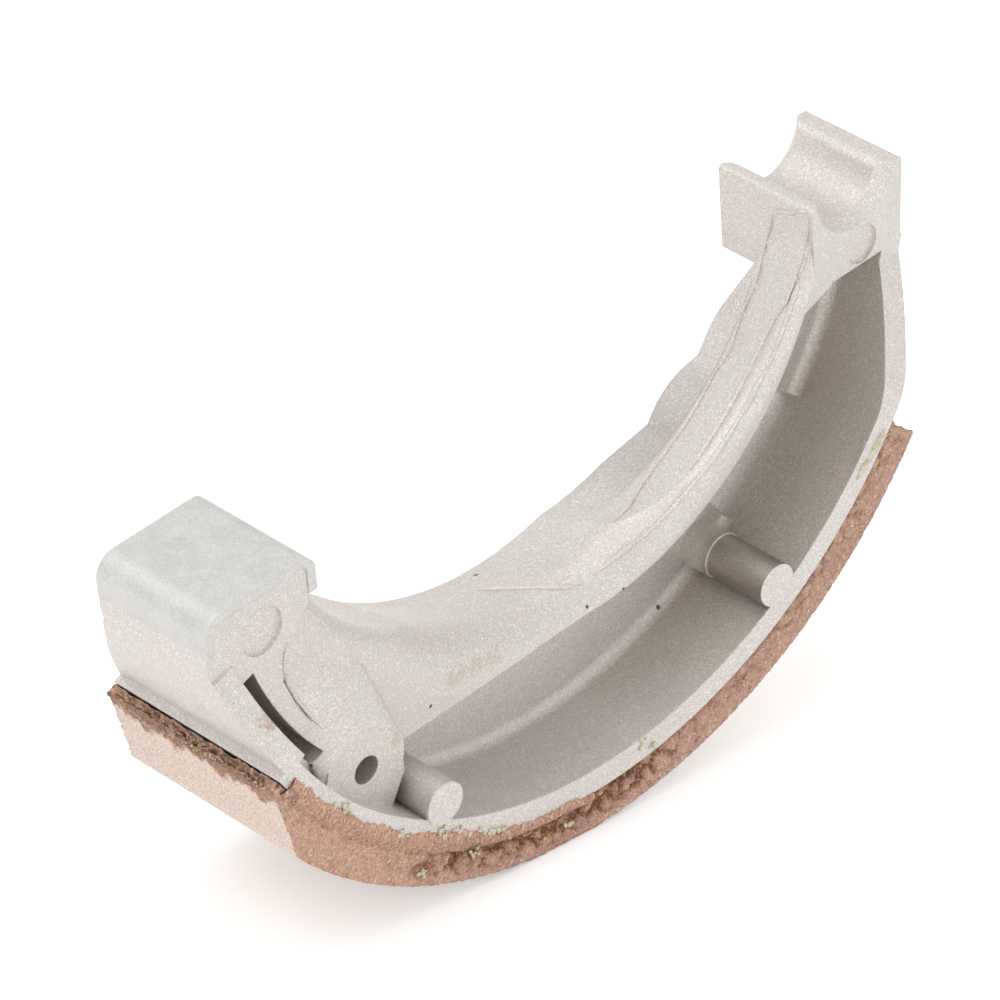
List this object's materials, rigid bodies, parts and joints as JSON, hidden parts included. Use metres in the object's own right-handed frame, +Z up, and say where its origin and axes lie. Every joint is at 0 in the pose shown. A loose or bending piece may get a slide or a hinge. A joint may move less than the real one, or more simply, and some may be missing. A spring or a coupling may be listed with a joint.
{
  "type": "drum brake shoe",
  "caption": "Die-cast drum brake shoe: arc rim with central web, cam pad with folded steel cap, half-round anchor saddle and bonded moulded friction lining.",
  "frame": {"origin": "drum axis at the middle of the shoe's width", "axes": "+Y along the drum axis, away from the ejector posts; +Z up in the shoe's rest pose, as a cradle on its lining; +X toward the anchor pin end"},
  "size_m": [0.1145, 0.0285, 0.0697],
  "materials": {
    "cast_aluminium": "as cast, fine blasted grain",
    "pressed_steel": "plain rolled sheet",
    "friction_material": "rough moulded friction compound with metal flecks"
  },
  "bodies": {
    "root": {"shoe_casting": "cast_aluminium", "cam_pad_cap": "pressed_steel", "friction_lining": "friction_material"}
  },
  "joints": []
}
